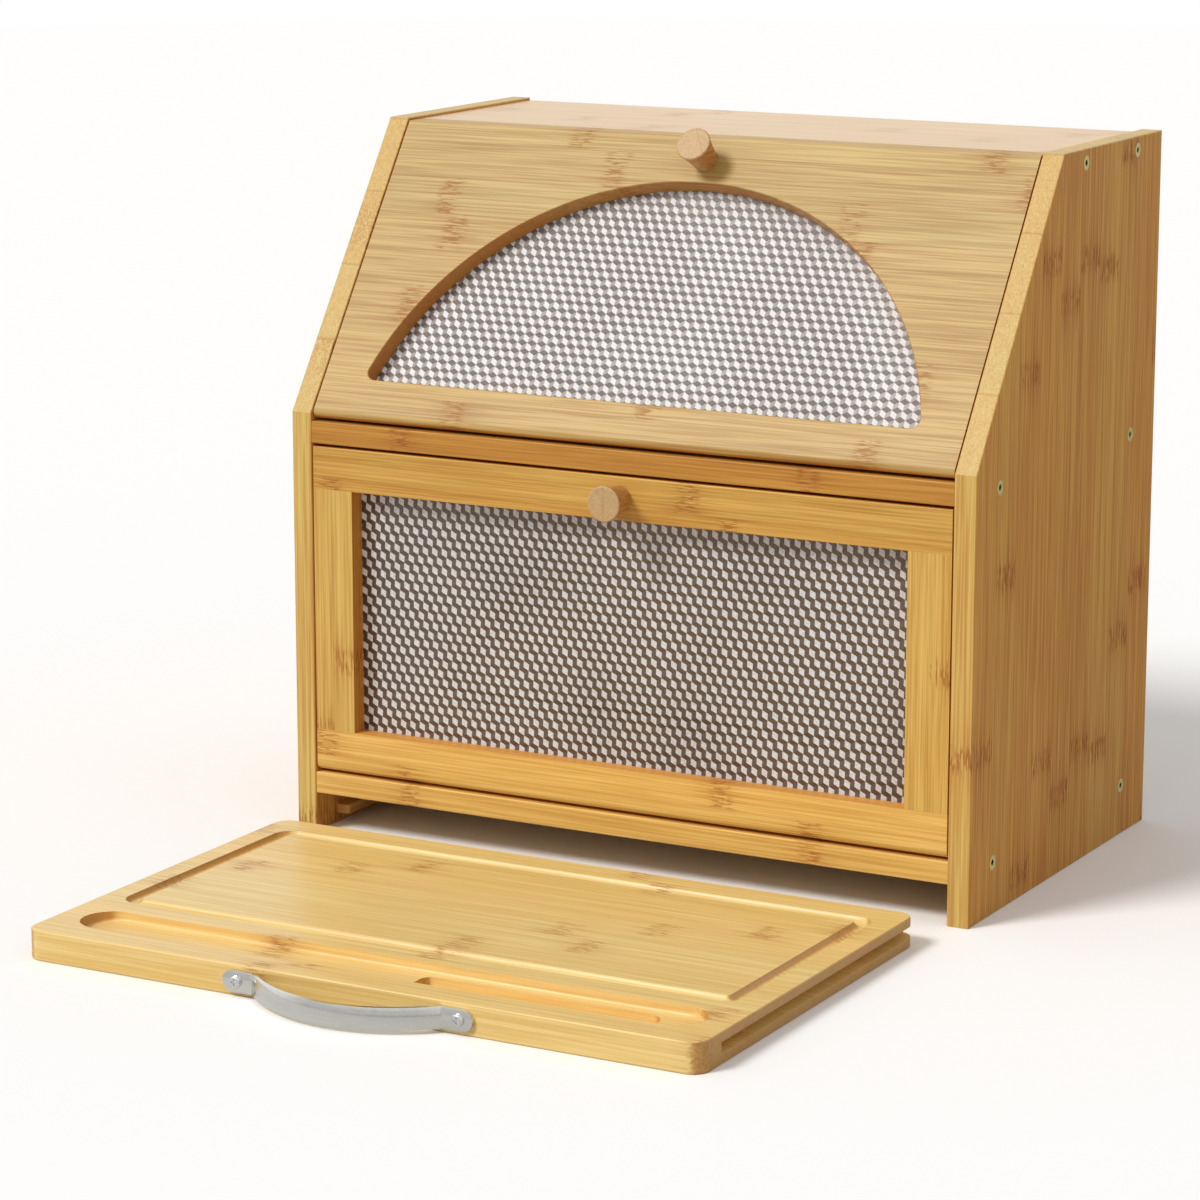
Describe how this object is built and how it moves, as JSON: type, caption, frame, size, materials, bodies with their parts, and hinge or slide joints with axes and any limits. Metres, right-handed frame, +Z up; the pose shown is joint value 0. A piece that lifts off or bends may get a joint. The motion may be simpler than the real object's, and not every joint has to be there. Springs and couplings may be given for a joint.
{
  "type": "bread box with drawer",
  "caption": "Two-tier bamboo bread box with a slanted arch-window door, a framed lower door and a pull-out cutting board with strap handle in a bay underneath.",
  "frame": {"origin": "middle of the footprint of the whole object with the board drawn out, on the worktop", "axes": "+Z up, +X to the right seen from the front, +Y from the front to the back"},
  "size_m": [0.4, 0.531, 0.3857],
  "materials": {
    "bamboo_side": "satin",
    "bamboo_top": "satin",
    "bamboo_shelf": "satin",
    "bamboo_back": "matte",
    "bamboo_door": "satin",
    "bamboo_knob": "satin",
    "bamboo_board": "satin",
    "pane": "prismatic",
    "zinc_steel": "satin",
    "plain_steel": "satin",
    "magnet": "polished",
    "handle_steel": "satin"
  },
  "bodies": {
    "cabinet": {"side_panel_left": "bamboo_side", "side_panel_right": "bamboo_side", "top_panel": "bamboo_top", "mid_shelf": "bamboo_shelf", "bottom_panel": "bamboo_shelf", "back_panel": "bamboo_back", "runner_left": "bamboo_shelf", "runner_right": "bamboo_shelf", "assembly_screws_left": "zinc_steel", "assembly_screws_right": "zinc_steel", "upper_magnets": "magnet", "door_stop_left": "bamboo_shelf", "door_stop_right": "bamboo_shelf", "lower_magnets": "magnet", "door_stop_screws": "zinc_steel"},
    "upper_door": {"upper_door_panel": "bamboo_door", "upper_pane": "pane", "upper_pane_screws": "plain_steel", "upper_knob": "bamboo_knob", "upper_knob_screw": "plain_steel", "upper_hinge_pins": "plain_steel", "upper_strikes": "plain_steel"},
    "lower_door": {"lower_door_top_rail": "bamboo_door", "lower_door_bottom_rail": "bamboo_door", "lower_door_stile_left": "bamboo_door", "lower_door_stile_right": "bamboo_door", "lower_pane": "pane", "lower_pane_screws": "plain_steel", "lower_knob": "bamboo_knob", "lower_knob_screw": "plain_steel", "lower_hinge_pins": "plain_steel", "lower_strikes": "plain_steel"},
    "board": {"cutting_board": "bamboo_board", "board_handle": "handle_steel", "handle_screws": "handle_steel"}
  },
  "joints": [
    {"name": "upper_door_hinge", "type": "hinge", "parent": "cabinet", "child": "upper_door", "pos_m": [0, 0.03304, 0.2335], "axis": [1, 0, 0], "range_deg": [0, 140]},
    {"name": "lower_door_hinge", "type": "hinge", "parent": "cabinet", "child": "lower_door", "pos_m": [0, 0.033, 0.041], "axis": [1, 0, 0], "range_deg": [0, 90]},
    {"name": "board_slide", "type": "slide", "parent": "cabinet", "child": "board", "axis": [0, 1, 0], "range_m": [0, 0.2685]}
  ]
}
